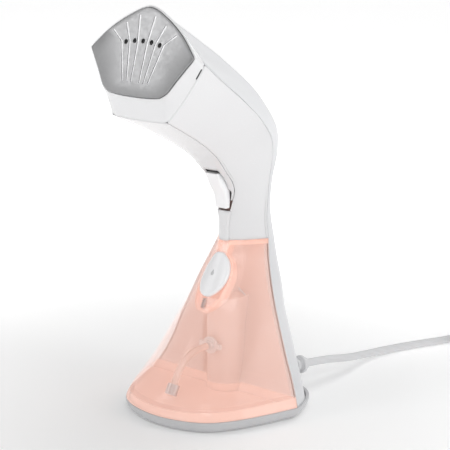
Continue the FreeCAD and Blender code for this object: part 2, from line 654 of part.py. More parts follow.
# ---------------------------------------------------------------- electrics and hoses
def electric_parts():
    board = box((-28, 58.6, 50), (-6, 60.2, 98))
    relay = box((-26, 50.0, 54), (-12, 58.6, 70))
    capacitor = rod((-12, 54.0, 76), (-12, 54.0, 90), 4.4)
    capacitor = capacitor.common(box((-20, 40, 60), (0, 58.6, 98)))
    block = box((-26, 60.2, 56), (-10, 64.0, 64))
    triac = box((-25, 54.5, 80), (-18, 58.6, 90))
    wires = []
    for start_x, end_x in ((-9.0, 13.0), (-14.0, -13.0)):
        path, radii = route_path([(start_x, 59.4, 98.2), (start_x, 59.8, 146), (start_x, 57, 180),
                                  (start_x * 0.9, 52, 206), (start_x * 0.8, 30, 232),
                                  (end_x * 0.8, -6, 262), (end_x, -31, 277)])
        first, second = path.Edges[0].Vertexes[0].Point, path.Edges[0].Vertexes[-1].Point
        circle = Part.Wire(Part.makeCircle(1.1, first, second - first))
        wires.append(path.makePipeShell([circle], True, True))
    way_up = [(0, 31, 70.6), (0, 31.5, 78), (0, 41, 81.3), (0, 52, 92), (0, 58.5, 112),
              (0, 61, 134), (0, 60, 160), (0, 56, 186), (0, 42, 208), (0, 12, 231),
              (0, -20, 246), (0, -42, 256.5)]
    path, radii = route_path(way_up)
    first, second = V(*way_up[0]), V(*way_up[1])
    ring = [Part.Wire(Part.makeCircle(r, first, second - first)) for r in (3.2, 2.02)]
    hose = path.makePipeShell([ring[0]], True, True).cut(path.makePipeShell([ring[1]], True, True))
    return board, (relay, capacitor, block, triac), wires, hose


# ---------------------------------------------------------------- cord
def cord_parts():
    start = V(*CORD_LEAD[0])
    way = (V(*CORD_LEAD[1]) - start).normalize()
    root = start - way * GUARD_LENGTH
    guard = Part.makeCone(6.6, 5.4, GUARD_LENGTH - 6.0, root, way)
    for rib in range(3):
        place = root + way * (GUARD_LENGTH - 19.0 + rib * 4.4)
        guard = guard.cut(Part.makeCylinder(9, 1.8, place, way).cut(
            Part.makeCylinder(4.3, 1.8, place, way)))
    guard = guard.fuse(Part.makeCylinder(7.6, 3.0, start - way * 7.5, way))
    guard = guard.fuse(Part.makeCylinder(5.0, 4.5, start - way * 4.5, way))
    clamp = box((14, 50, 14.0), (34, 58, 27.0))
    lead = route_tube(CORD_LEAD, CORD_D, "cord_lead")
    tail = route_tube(CORD_TAIL, CORD_D, "cord_tail")
    low, high = COIL_R - CORD_D - 0.2, COIL_R + CORD_D + 0.2
    x, y = COIL_CENTRE
    height = COIL_ROWS * CORD_D + 0.8
    coil = tube((x, y, 0.1), (x, y, height), high, low)
    coil = soften(coil, 2.6, lambda e: True)
    end = V(*CORD_TAIL[-1])
    way = (end - V(*CORD_TAIL[-2])).normalize()
    turn = FreeCAD.Rotation(V(1, 0, 0), way)
    sleeve = Part.makeCone(4.3, 5.4, 24)
    sleeve.Placement = FreeCAD.Placement(V(0, 0, 0), FreeCAD.Rotation(V(0, 1, 0), 90))
    head = box((24, -13.5, -5.4), (60, 13.5, 5.4))
    head = soften(head, 4.0, lambda e: e.BoundBox.XLength > 30)
    plug = sleeve.fuse(head)
    pins = [rod((60, side * 9.3, 0), (79, side * 9.3, 0), 2.4) for side in (-1, 1)]
    for shape in [plug] + pins:
        shape.Placement = FreeCAD.Placement(end, turn).multiply(shape.Placement)
    return guard, clamp, lead, tail, coil, plug, pins


def main():
    # --- shells of the head and handle
    under, right, back = handle_shells()
    pivot = TRIGGER_PIVOT
    opening = box((-TRIGGER_HALF - 0.7, 0, 159.2), (TRIGGER_HALF + 0.7, 36, 193.2))
    pin_hole = rod((-30, *pivot), (30, *pivot), 1.5)
    under = under.cut(opening)
    strip_below, cover_above = sorted(under.Solids, key=lambda s: s.CenterOfMass.z)
    right = right.cut(opening).cut(pin_hole)
    left = right.mirror(V(0, 0, 0), V(1, 0, 0))
    guard, clamp, lead, tail, coil, plug, pins = cord_parts()
    exit_way = V(*CORD_LEAD[0]) - V(*CORD_LEAD[1])
    back = back.cut(Part.makeCylinder(6.7, 60, V(*CORD_LEAD[0]), exit_way))
    save("front_strip", strip_below)
    save("underside_cover", cover_above)
    save("side_shell_right", right)
    save("side_shell_left", left)
    save("back_cover", back)
    bezel, plate, gasket = head_parts()
    save("head_bezel", bezel)
    save("steam_plate", plate)
    save("plate_gasket", gasket)
    names = ("steam_chamber", "chamber_cover", "heating_element", "thermostat",
             "thermal_fuse", "water_inlet")
    for name, shape in zip(names, boiler_parts()):
        save(name, shape)
    # --- body below the handle
    foot, deck, pads, screws = foot_parts()
    save("base_foot", foot)
    save("base_deck", deck)
    save("rubber_feet", *pads)
    save("base_screws", *screws)
    save("spine_panel", spine_panel())
    names = ("pump_housing", "pump_core", "pump_coil", "pump_frame", "pump_plunger",
             "pump_spring", "water_connector", "connector_seal")
    for name, shape in zip(names, pump_parts()):
        save(name, shape)
    # --- trigger and electrics
    names = ("steam_trigger", "trigger_pin", "trigger_spring", "switch_ledge",
             "microswitch", "switch_plunger")
    for name, shape in zip(names, trigger_parts()):
        save(name, shape)
    board, components, wires, hose = electric_parts()
    save("circuit_board", board)
    save("board_components", *components)
    save("power_wires", *wires)
    save("water_hose", hose)
    # --- tank
    names = ("tank_shell", "button_seat", "release_button", "latch_tongue", "release_spring")
    for name, shape in zip(names, tank_parts()):
        save(name, shape)
    names = ("tank_valve", "suction_hose", "suction_weight", "filler_plug")
    for name, shape in zip(names, water_path()):
        save(name, shape)
    # --- cord
    save("cord_guard", guard)
    save("cord_clamp", clamp)
    save("cord_lead", lead)
    save("cord_tail", tail)
    save("cord_coil", coil)
    save("plug_body", plug)
    save("plug_pins", *pins)


main()
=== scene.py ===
"""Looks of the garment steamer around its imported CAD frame.

+Z is up, the steam plate faces -Y and x = 0 is the plane of symmetry. Sizes and places of the
object are in millimetres, those of the camera, the lamps and the floor in metres. The shells
are rebuilt as smooth meshes from a few cross sections along the head, handle and foot.
"""

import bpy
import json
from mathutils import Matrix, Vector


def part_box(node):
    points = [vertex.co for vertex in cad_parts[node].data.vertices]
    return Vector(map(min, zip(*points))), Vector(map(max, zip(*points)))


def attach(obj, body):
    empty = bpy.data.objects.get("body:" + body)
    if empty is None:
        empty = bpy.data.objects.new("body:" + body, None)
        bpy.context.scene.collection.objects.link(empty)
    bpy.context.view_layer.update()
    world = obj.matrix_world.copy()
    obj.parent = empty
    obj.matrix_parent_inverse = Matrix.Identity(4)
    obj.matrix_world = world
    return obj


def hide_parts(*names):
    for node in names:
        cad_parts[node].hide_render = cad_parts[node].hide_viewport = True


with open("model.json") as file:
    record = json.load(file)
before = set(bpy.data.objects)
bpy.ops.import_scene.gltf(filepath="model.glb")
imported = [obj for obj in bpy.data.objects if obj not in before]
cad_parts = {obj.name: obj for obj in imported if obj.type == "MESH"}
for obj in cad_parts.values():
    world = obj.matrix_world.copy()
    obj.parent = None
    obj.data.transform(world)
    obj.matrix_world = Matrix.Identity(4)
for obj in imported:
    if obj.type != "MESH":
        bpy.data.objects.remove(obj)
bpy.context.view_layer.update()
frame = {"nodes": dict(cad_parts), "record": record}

import json
import math

import bmesh
import bpy
from mathutils import Vector

MM = 0.001
NODES = frame["nodes"]
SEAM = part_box("side_shell_left")[0].z / MM
FOOT_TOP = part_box("base_foot")[1].z / MM

SHELL_WALL = 1.6
STRIP_WALL = 1.4
RING_SPACING = 5.0
SHELL_POINTS = 11
COVER_POINTS = 37
OPENING_TOP = 194.5
OPENING_HALF = 7.8
STRIP_TOP = 160.5
PANEL_LOW = 158.0

PLATE_TILT = math.radians(18.0)
PLATE_EARS = (-68.5, 295.0)
LOWER_CORNER, SIDE_CORNER = 2, 6  # their places in plate_outline
BOTTOM_POINTS, SIDE_POINTS, TOP_POINTS = 13, 11, 29
HOLE_SPACING = 8.2
HOLE_ARC_TOP = 8.4
HOLE_ARC_DROP = 0.45
HOLE_R = 1.7
HOLE_EDGE = 0.3
HOLE_DEPTH = 3.0
GROOVES_PER_SIDE = 3
GROOVE_DEPTH = 0.35

TANK_SPACING = 3.0
BUTTON_SLOPE = math.radians(58.8)
BUTTON_MID = (13.5, 108.5)
BUTTON_HALF_LENGTH = 19.0
BUTTON_HALF_WIDTH = 12.0

GUARD_LENGTH = 30.0
CORD_D = 6.8
COIL_CENTRE = (126.0, 296.0)
COIL_R = 40.0
COIL_ROWS = 4
COIL_LOW = 3.6
COIL_ROW_STEP = CORD_D + 0.15
TURN_POINTS = 16

# A station of head or handle: the (y, z) of its underside and of its back on the middle plane,
# then (x, depth from the underside) of edge, crease and rear corner, and the corner's rounding.
HEAD_END = ((-71.0, 245.0), (-44.0, 320.0), (27.0, 1.0), (50.0, 46.5), (31.0, 62.5), 9.0)
BODY_STATIONS = [
    HEAD_END,
    ((-48.0, 233.0), (-13.0, 301.8), (24.0, 1.5), (46.0, 43.5), (30.5, 60.0), 8.0),
    ((-22.0, 219.0), (22.0, 279.3), (19.5, 1.8), (41.0, 42.0), (30.0, 60.5), 7.0),
    ((1.0, 203.5), (53.4, 252.6), (14.5, 2.0), (35.3, 42.5), (28.0, 61.5), 6.0),
    ((13.0, 190.5), (69.5, 220.5), (12.5, 2.5), (29.0, 45.0), (26.5, 60.0), 5.0),
    ((19.5, 183.0), (71.0, 201.7), (12.0, 3.0), (26.0, 38.5), (24.5, 51.0), 4.5),
    ((24.0, 175.0), (67.3, 184.2), (11.0, 3.0), (23.8, 32.0), (22.8, 41.0), 4.0),
    ((26.0, 163.0), (65.5, 165.8), (7.0, 1.5), (23.2, 28.5), (22.0, 36.3), 4.0),
    ((26.5, 149.0), (66.0, 149.0), (3.6, 0.4), (23.5, 26.5), (22.6, 36.5), 4.0),
    ((26.5, SEAM), (68.0, SEAM), (3.5, 0.3), (25.0, 27.0), (24.0, 38.5), 4.0)]
# Spine: height, (x, y) of crease and rear corner, y of the back, rounding of the corner.
SPINE_STATIONS = [
    (118.0, (30.0, 48.0), (28.0, 64.0), 68.8, 4.5),
    (98.0, (38.0, 42.0), (35.0, 62.5), 70.0, 6.0),
    (78.0, (46.0, 38.0), (40.0, 60.5), 71.5, 7.0),
    (59.0, (54.0, 35.0), (47.0, 60.0), 73.0, 8.5),
    (43.0, (60.0, 33.5), (53.0, 59.5), 74.5, 10.0),
    (26.0, (68.0, 31.0), (59.5, 58.0), 76.5, 11.0),
    (FOOT_TOP + 0.2, (76.6, 25.5), (65.5, 56.0), 78.2, 12.0)]
# Tank: height, y of the nose, (x, y) of the crease beside the spine.
TANK_STATIONS = [
    (FOOT_TOP + 0.4, -57.6, (76.6, 25.0)),
    (17.0, -56.0, (73.0, 28.0)),
    (40.0, -37.0, (61.5, 33.5)),
    (62.0, -18.5, (53.0, 35.5)),
    (85.0, 0.5, (43.0, 39.5)),
    (98.0, 8.3, (38.0, 42.0)),
    (110.0, 16.0, (33.0, 45.0)),
    (122.0, 23.5, (28.5, 49.5)),
    (SEAM - 0.3, 26.5, (25.0, 53.5))]
FOOT_HALF = [(0, -58), (21, -55), (41, -46), (54, -31), (64, -11), (73, 13), (76.8, 26),
             (73.2, 39), (67.4, 53), (57.6, 64), (41, 72), (20, 77), (0, 78.6)]
CORD_LEAD = [(37, 90, 20.5), (41.5, 112, 19), (43.5, 141, 12.5), (40, 170, 6.6),
             (44, 203, 3.6), (58, 234, 3.6), (73, 262, 3.6), (82.6, 292, 3.6)]
CORD_TAIL = [(169.4, 292, 25.4), (161.5, 274.5, 29.8), (147, 260.5, 33), (127, 255, 34),
             (107, 259.5, 34), (93.5, 273, 34), (89, 292, 34)]
# Share of the tank's half width and depth along its side, at the foot and at the seam.
TANK_LOW = [(0.273, 0.036), (0.532, 0.145), (0.70, 0.325), (0.83, 0.566), (0.948, 0.855)]
TANK_HIGH = [(0.14, 0.012), (0.30, 0.18), (0.50, 0.37), (0.70, 0.58), (0.88, 0.82)]
TRIGGER_SIDE = [(10.6, 191.0), (12.4, 186.6), (15.6, 180.6), (19.0, 175.6), (21.3, 171.4),
                (22.6, 167.0), (23.4, 160.8), (27.0, 160.8), (28.0, 166.0), (28.0, 178.0),
                (27.6, 185.0), (27.6, 191.4), (20.0, 192.0), (13.0, 191.6)]
EDGE, CREASE = 2, 5  # their places in the outline of body_ring


# ---------------------------------------------------------------- camera, light, floor
def place_camera():
    """Camera in front and to the right, above the head, looking a little down."""
    data = bpy.data.cameras.new("camera")
    data.sensor_width = 36.0
    data.lens = 123.1
    data.clip_end = 20.0
    camera = bpy.data.objects.new("camera", data)
    bpy.context.scene.collection.objects.link(camera)
    camera.location = (0.7491, -0.8927, 0.4562)
    way = Vector((-0.6104, 0.7506, -0.2530))
    camera.rotation_euler = way.to_track_quat("-Z", "Y").to_euler()
    bpy.context.scene.camera = camera


def area_light(name, place, aim, size, power):
    """A white rectangular lamp that faces the point it aims at."""
    data = bpy.data.lights.new(name, "AREA")
    data.shape = "RECTANGLE"
    data.size, data.size_y = size
    data.energy = power
    lamp = bpy.data.objects.new(name, data)
    bpy.context.scene.collection.objects.link(lamp)
    lamp.location = place
    lamp.rotation_euler = (Vector(aim) - Vector(place)).to_track_quat("-Z", "Y").to_euler()


def map_range(tree, source, given, wanted):
    """A node that maps a number from one range to another."""
    node = tree.nodes.new("ShaderNodeMapRange")
    node.inputs["From Min"].default_value, node.inputs["From Max"].default_value = given
    node.inputs["To Min"].default_value, node.inputs["To Max"].default_value = wanted
    tree.links.new(source, node.inputs["Value"])
    return node


def studio():
    """Bright at the horizon and dimmer overhead, with soft lights round a pale floor."""
    world = bpy.data.worlds.new("studio")
    bpy.context.scene.world = world
    world.use_nodes = True
    tree = world.node_tree
    back = tree.nodes["Background"]
    back.inputs["Color"].default_value = (1.0, 1.0, 1.0, 1.0)
    coords = tree.nodes.new("ShaderNodeTexCoord")
    split = tree.nodes.new("ShaderNodeSeparateXYZ")
    tree.links.new(coords.outputs["Generated"], split.inputs["Vector"])
    fall = map_range(tree, split.outputs["Z"], (0.02, 0.32), (1.0, 0.30))
    tree.links.new(fall.outputs["Result"], back.inputs["Strength"])
    bpy.context.scene.view_settings.view_transform = "Standard"
    area_light("key", (0.8, -1.0, 1.1), (0, 0, 0.25), (0.6, 0.6), 4.0)
    area_light("side", (-0.85, -1.0, 0.9), (0, 0, 0.25), (0.4, 0.7), 3.0)
    area_light("top", (0.1, 0.3, 1.6), (0, 0, 0.1), (1.2, 1.0), 4.5)
    area_light("rim", (1.3, 0.3, 0.6), (0, 0, 0.15), (0.5, 1.0), 3.2)
    area_light("back", (0.1, 1.3, 0.9), (0, 0, 0.15), (0.9, 0.7), 4.0)
    half = 6.0
    floor = bpy.data.meshes.new("floor")
    floor.from_pydata([(-half, -half, 0), (half, -half, 0), (half, half, 0), (-half, half, 0)],
                      [], [(0, 1, 2, 3)])
    ground = bpy.data.objects.new("floor", floor)
    bpy.context.scene.collection.objects.link(ground)
    ground.data.materials.append(floor_paint())


# ---------------------------------------------------------------- materials
def shader(name):
    """A new material with its principled shader and its node tree."""
    material = bpy.data.materials.new(name)
    material.use_nodes = True
    tree = material.node_tree
    return material, tree, tree.nodes["Principled BSDF"]


def noise(tree, scale, detail=3.0):
    """A noise texture fixed to the object, scale in waves per metre."""
    coords = tree.nodes.new("ShaderNodeTexCoord")
    texture = tree.nodes.new("ShaderNodeTexNoise")
    texture.inputs["Scale"].default_value = scale
    texture.inputs["Detail"].default_value = detail
    tree.links.new(coords.outputs["Object"], texture.inputs["Vector"])
    return texture


def spread(tree, source, low, high):
    """Map a texture's grey value to a range of numbers."""
    return map_range(tree, source, (0.3, 0.7), (low, high)).outputs["Result"]


def tint(tree, source, dark, light):
    """Blend two colours by a texture's grey value."""
    ramp = tree.nodes.new("ShaderNodeValToRGB")
    ramp.color_ramp.elements[0].position = 0.35
    ramp.color_ramp.elements[1].position = 0.65
    ramp.color_ramp.elements[0].color = (*dark, 1.0)
    ramp.color_ramp.elements[1].color = (*light, 1.0)
    tree.links.new(source, ramp.inputs["Fac"])
    return ramp.outputs["Color"]


def bump(tree, source, target, strength):
    """Fine relief, a fifth of a millimetre high at most."""
    node = tree.nodes.new("ShaderNodeBump")
    node.inputs["Strength"].default_value = strength
    node.inputs["Distance"].default_value = 0.2 * MM
    tree.links.new(source, node.inputs["Height"])
    tree.links.new(node.outputs["Normal"], target)


def plastic(name, colour, rough, grain=900.0, relief=0.04, coat=0.0, depth=0.015):
    """Moulded plastic: slight colour drift, fine grain in the gloss, optional lacquer."""
    material, tree, body = shader(name)
    fine = noise(tree, grain)
    broad = noise(tree, 14.0, 2.0)
    dark = [c * (1 - depth) for c in colour]
    tree.links.new(tint(tree, broad.outputs["Fac"], dark, colour), body.inputs["Base Color"])
    tree.links.new(spread(tree, fine.outputs["Fac"], rough * 0.85, rough * 1.15),
                   body.inputs["Roughness"])
    bump(tree, fine.outputs["Fac"], body.inputs["Normal"], relief)
    body.inputs["Coat Weight"].default_value = coat
    body.inputs["Coat Roughness"].default_value = 0.06
    return material


def metal(name, colour, rough):
    """Dull metal with a fine drift in its colour and gloss."""
    material, tree, body = shader(name)
    fine = noise(tree, 400.0)
    dark = [c * 0.94 for c in colour]
    tree.links.new(tint(tree, fine.outputs["Fac"], dark, colour), body.inputs["Base Color"])
    tree.links.new(spread(tree, fine.outputs["Fac"], rough * 0.85, rough * 1.2),
                   body.inputs["Roughness"])
    bump(tree, fine.outputs["Fac"], body.inputs["Normal"], 0.05)
    body.inputs["Metallic"].default_value = 1.0
    return material


def floor_paint():
    """A pale floor that glows like a lit photo table: painted light far off, and a weaker glow
    near the object as painted shade round the foot.
    """
    material = plastic("floor_paint", (0.93, 0.93, 0.93), 0.65, grain=60.0, relief=0.0,
                       depth=0.004)
    tree = material.node_tree
    body = tree.nodes["Principled BSDF"]
    body.inputs["Emission Color"].default_value = (1.0, 1.0, 1.0, 1.0)
    coords = tree.nodes.new("ShaderNodeTexCoord")
    reach = tree.nodes.new("ShaderNodeVectorMath")
    reach.operation = "LENGTH"
    tree.links.new(coords.outputs["Object"], reach.inputs[0])
    # Painted light and shade: the emission grows with distance from the middle, dim next to the
    # foot and bright far away.
    painted_glow = map_range(tree, reach.outputs["Value"], (0.08, 0.60), (0.14, 0.66))
    painted_glow.interpolation_type = "SMOOTHSTEP"
    tree.links.new(painted_glow.outputs["Result"], body.inputs["Emission Strength"])
    return material


def height_ramp(tree, stops):
    """A grey value that follows the height above the floor, from (millimetres, value)."""
    top = 150.0
    coords = tree.nodes.new("ShaderNodeTexCoord")
    split = tree.nodes.new("ShaderNodeSeparateXYZ")
    tree.links.new(coords.outputs["Object"], split.inputs["Vector"])
    share = map_range(tree, split.outputs["Z"], (0.0, top * MM), (0.0, 1.0))
    ramp = tree.nodes.new("ShaderNodeValToRGB")
    tree.links.new(share.outputs["Result"], ramp.inputs["Fac"])
    while len(ramp.color_ramp.elements) < len(stops):
        ramp.color_ramp.elements.new(0.5)
    for element, (height, value) in zip(ramp.color_ramp.elements, stops):
        element.position = height / top
        element.color = (value, value, value, 1.0)
    return ramp.outputs["Color"]


def clear_pink(name, stops, rough=0.07):
    """Tinted clear plastic of the tank, denser in its thick bottom and top rims, with a faint
    pink glow as painted light in its shaded inside.
    """
    material, tree, body = shader(name)
    broad = noise(tree, 20.0, 2.0)
    tree.links.new(tint(tree, broad.outputs["Fac"], (0.94, 0.60, 0.50), (0.97, 0.65, 0.55)),
                   body.inputs["Base Color"])
    tree.links.new(spread(tree, broad.outputs["Fac"], rough * 0.9, rough * 1.1),
                   body.inputs["Roughness"])
    tree.links.new(height_ramp(tree, stops), body.inputs["Alpha"])
    body.inputs["Coat Weight"].default_value = 0.4
    body.inputs["Coat Roughness"].default_value = 0.04
    # Painted light: a faint pink emission that lifts the shade inside the tank and the button
    # seat.
    body.inputs["Emission Color"].default_value = (1.0, 0.67, 0.57, 1.0)
    body.inputs["Emission Strength"].default_value = 0.35
    return material


PAINTS = {
    "white_shell": plastic("white_shell", (0.76, 0.76, 0.77), 0.24, coat=0.35),
    "cover_white": plastic("cover_white", (0.73, 0.735, 0.75), 0.33, grain=1400.0, relief=0.08),
    "plate_metal": metal("plate_metal", (0.34, 0.34, 0.345), 0.36),
    "tank_pink": clear_pink("tank_pink", [(0, 0.50), (16.8, 0.45), (17.6, 0.15), (129.6, 0.17),
                                          (130.6, 0.45)]),
    "foot_grey": plastic("foot_grey", (0.60, 0.60, 0.61), 0.42, grain=1400.0, relief=0.08),
    "button_white": plastic("button_white", (0.93, 0.93, 0.94), 0.34, coat=0.12),
    "inner_plastic": plastic("inner_plastic", (0.78, 0.77, 0.77), 0.45),
    "silicone": plastic("silicone", (0.80, 0.62, 0.55), 0.55),
    "cast_aluminium": metal("cast_aluminium", (0.62, 0.62, 0.63), 0.5),
    "steel_parts": metal("steel_parts", (0.55, 0.55, 0.56), 0.3),
    "copper_coil": metal("copper_coil", (0.70, 0.35, 0.18), 0.35),
    "board_green": plastic("board_green", (0.05, 0.20, 0.09), 0.4),
    "component_black": plastic("component_black", (0.03, 0.03, 0.032), 0.45),
    "cord_grey": plastic("cord_grey", (0.72, 0.72, 0.73), 0.45, grain=1600.0, relief=0.10),
    "wire_sleeve": plastic("wire_sleeve", (0.70, 0.66, 0.5), 0.5),
    "contact_metal": metal("contact_metal", (0.75, 0.75, 0.75), 0.2)}
SEAT_PINK = clear_pink("seat_pink", [(0, 0.33), (150, 0.33)], 0.12)
PLATE_GROOVES = metal("plate_grooves", (0.88, 0.88, 0.89), 0.5)


def paint_frame():
    """Every CAD node gets the procedural material of its slot."""
    for part in frame["record"]["subparts"]:
        node = NODES.get(part["node"])
        if node:
            node.data.materials.clear()
            node.data.materials.append(PAINTS[part["material_slot"]])
    NODES["button_seat"].data.materials[0] = SEAT_PINK


# ---------------------------------------------------------------- section outlines, in mm
def mirrored(points):
    """The same points on the other side of the middle plane."""
    return [(-x, t) for x, t in points]


def push(points, distance):
    """Move a closed outline outwards; a negative distance goes in."""
    count = len(points)
    area = sum(points[i - 1][0] * points[i][1] - points[i][0] * points[i - 1][1]
               for i in range(count))
    side = 1 if area > 0 else -1
    moved = []
    for i, (x, t) in enumerate(points):
        before = points[i - 1]
        after = points[(i + 1) % count]
        dx, dt = after[0] - before[0], after[1] - before[1]
        length = math.hypot(dx, dt)
        moved.append((x + side * dt / length * distance, t - side * dx / length * distance))
    return moved


def toward(a, b, distance):
    """The point at a distance from a on the way to b."""
    length = math.dist(a, b)
    return (a[0] + (b[0] - a[0]) * distance / length, a[1] + (b[1] - a[1]) * distance / length)


def between(a, b, share, bulge):
    """The point at a share of the way from a to b, set out sideways by the bulge."""
    dx, dt = b[0] - a[0], b[1] - a[1]
    length = math.hypot(dx, dt)
    return (a[0] + dx * share + dt / length * bulge, a[1] + dt * share - dx / length * bulge)


def back_half(crease, corner, depth, rounding):
    """Right half of a section's back: crease, rounded rear corner, middle of the back."""
    centre = (0.0, depth)
    return [crease, between(crease, corner, 0.5, 0.4), toward(corner, crease, rounding),
            toward(corner, centre, rounding),
            between(corner, centre, 0.55, 0.12 * (depth - corner[1])), centre]


def body_ring(station):
    """Closed outline of the head or handle at one station, in space."""
    under, back, edge, crease, corner, rounding = station
    depth = math.dist(under, back)
    way = ((back[0] - under[0]) / depth, (back[1] - under[1]) / depth)
    front = [(0.0, 0.0), (0.6 * edge[0], 0.3 * edge[1]), edge,
             between(edge, crease, 0.35, 1.5), between(edge, crease, 0.7, 1.2)]
    half = front + back_half(crease, corner, depth, rounding)
    ring = half + mirrored(half[1:-1])[::-1]
    return [Vector((x, under[0] + way[0] * t, under[1] + way[1] * t)) for x, t in ring]


def spine_ring(station):
    """Open outline of the spine behind the tank at one height, in space."""
    height, crease, corner, depth, rounding = station
    half = back_half(crease, corner, depth, rounding)
    ring = half + mirrored(half[:-1])[::-1]
    return [Vector((x, t, height)) for x, t in ring]


def ring_slice(ring, first, last):
    """Points of a closed ring from one place to another; a place may be negative."""
    return [ring[i % len(ring)] for i in range(first, last + 1)]


def hermite(a, b, rate_a, rate_b, s):
    """A point at share s of the cubic from a to b that leaves and arrives at these rates."""
    return (a * (2 * s ** 3 - 3 * s ** 2 + 1) + rate_a * (s ** 3 - 2 * s ** 2 + s)
            + b * (3 * s ** 2 - 2 * s ** 3) + rate_b * (s ** 3 - s ** 2))


def smooth_line(points, count, closed=False):
    """count points at even distances along a smooth line through the given ones."""
    size = len(points)
    fine = 12
    tiny = 1e-6
    dense = []
    spans = size if closed else size - 1
    for i in range(spans):
        b, c = points[i], points[(i + 1) % size]
        a = points[i - 1] if closed or i else b * 2 - c
        d = points[(i + 2) % size] if closed or i < size - 2 else c * 2 - b
        gap = (c - b).length
        rate_b = ((b - a) / max((b - a).length, tiny) + (c - b) / gap) * 0.5 * gap
        rate_c = ((c - b) / gap + (d - c) / max((d - c).length, tiny)) * 0.5 * gap
        dense += [hermite(b, c, rate_b, rate_c, step / fine) for step in range(fine)]
    dense.append(points[0] if closed else points[-1])
    lengths = [0.0]
    for p, q in zip(dense, dense[1:]):
        lengths.append(lengths[-1] + (q - p).length)
    steps = count if closed else count - 1
    picked = []
    place = 0
    for i in range(count):
        wanted = lengths[-1] * i / steps
        while place < len(dense) - 2 and lengths[place + 1] < wanted:
            place += 1
        span = lengths[place + 1] - lengths[place]
        share = (wanted - lengths[place]) / span if span else 0.0
        picked.append(dense[place].lerp(dense[place + 1], min(max(share, 0.0), 1.0)))
    return picked


def even_rings(rings, spacing):
    """Smoothly blended sections at even distances between the given ones."""
    count = len(rings)
    size = len(rings[0])
    gaps = [sum((a - b).length for a, b in zip(rings[i], rings[i + 1])) / size
            for i in range(count - 1)]
    rates = []
    for i in range(count):
        if 0 < i < count - 1:
            near, far = gaps[i - 1], gaps[i]
            rates.append([((b - a) / near * far + (c - b) / far * near) / (near + far)
                          for a, b, c in zip(rings[i - 1], rings[i], rings[i + 1])])
        else:
            low = min(i, count - 2)
            rates.append([(b - a) / gaps[low] for a, b in zip(rings[low], rings[low + 1])])
    filled = []
    for i in range(count - 1):
        steps = max(1, round(gaps[i] / spacing))
        for step in range(steps):
            filled.append([hermite(a, b, rate_a * gaps[i], rate_b * gaps[i], step / steps)
                           for a, b, rate_a, rate_b in zip(rings[i], rings[i + 1],
                                                           rates[i], rates[i + 1])])
    return filled + [list(rings[-1])]


# ---------------------------------------------------------------- mesh building
def make_object(name, bm, body, slot, replaced=()):
    """Link a mesh as a piece that rides on a body, with its slot's material."""
    mesh = bpy.data.meshes.new(name)
    bmesh.ops.recalc_face_normals(bm, faces=bm.faces)
    bm.to_mesh(mesh)
    bm.free()
    for face in mesh.polygons:
        face.use_smooth = True
    piece = bpy.data.objects.new(name, mesh)
    bpy.context.scene.collection.objects.link(piece)
    piece.data.materials.append(PAINTS[slot])
    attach(piece, body)
    if replaced:
        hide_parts(*replaced)
    return piece


def join_rings(bm, rings, closed):
    """Quads between rows of points given in mm; returns the rows of vertices."""
    rows = [[bm.verts.new(p * MM) for p in ring] for ring in rings]
    size = len(rows[0])
    for low, high in zip(rows, rows[1:]):
        for i in range(size if closed else size - 1):
            j = (i + 1) % size
            bm.faces.new((low[i], low[j], high[j], high[i]))
    return rows


def grid(rings, closed=False):
    """A new open mesh over rows of points."""
    bm = bmesh.new()
    join_rings(bm, rings, closed)
    return bm


def closed_mesh(bm, rings, cap_first=True, cap_last=True):
    """Closed rings of points joined by quads, with or without a face over each end."""
    rows = join_rings(bm, rings, True)
    if cap_first:
        bm.faces.new(rows[0])
    if cap_last:
        bm.faces.new(rows[-1])
    return rows


def crisp(piece, degrees):
    """Sharp shading along edges that turn by more than an angle."""
    piece.data.set_sharp_from_angle(angle=math.radians(degrees))


def finish_shell(piece, thickness):
    """Smooth a shell's surface, then give it a wall on its inner side."""
    smooth = piece.modifiers.new("smooth", "SUBSURF")
    smooth.levels = smooth.render_levels = 1
    if thickness:
        wall = piece.modifiers.new("wall", "SOLIDIFY")
        wall.thickness = thickness * MM
        wall.offset = -1.0
        wall.use_even_offset = False


def with_lips(row, normal_in):
    """Turn both ends of a row of points inwards, so that a shell's edges are rounded."""
    seam, lip, support = 0.18, 1.3, 0.7
    first, last = row[0], row[-1]
    start = (row[1] - first).normalized()
    end = (row[-2] - last).normalized()
    return ([first + start * seam + normal_in[0] * lip, first + start * seam,
             first + start * (seam + support)] + row[1:-1]
            + [last + end * (seam + support), last + end * seam,
               last + end * seam + normal_in[1] * lip])


# ---------------------------------------------------------------- shells
def middle_of(ring):
    """Mean of a ring's points."""
    return sum(ring, Vector()) / len(ring)


def shell_rows(first, last, count, below=()):
    """Rows of one shell between two places of the outline, along head and handle."""
    rings = [body_ring(station) for station in BODY_STATIONS]
    rows = [smooth_line(ring_slice(ring, first, last), count) for ring in rings]
    rows += [smooth_line(ring, count) for ring in below]
    inwards = [(middle_of(ring) - p).normalized() for ring in rings
               for p in (ring[first % len(ring)], ring[last % len(ring)])]
    inwards += [Vector((-math.copysign(1, p.x), 0.2, 0)).normalized() for ring in below
                for p in (ring[0], ring[-1])]
    full = [with_lips(row, inwards[2 * i:2 * i + 2]) for i, row in enumerate(rows)]
    return even_rings(full, RING_SPACING)


def build_shell(name, bm, slot, node, thickness):
    """A smooth shell of the body that stands for one CAD node."""
    finish_shell(make_object(name, bm, "body", slot, (node,)), thickness)


def build_side_shells(ring_size):
    """Both flanks of head and handle, from the underside's edge to the crease."""
    for name, first, last in (("side_shell_right", EDGE, CREASE),
                              ("side_shell_left", ring_size - CREASE, ring_size - EDGE)):
        rows = shell_rows(first, last, SHELL_POINTS)
        build_shell("white_" + name, grid(rows), "white_shell", name, SHELL_WALL)


def build_back_cover(ring_size):
    """One long cover over the back, from the head down to the foot."""
    below = [spine_ring(station) for station in SPINE_STATIONS]
    rows = shell_rows(CREASE, ring_size - CREASE, COVER_POINTS, below)
    build_shell("long_back_cover", grid(rows), "cover_white", "back_cover", SHELL_WALL)


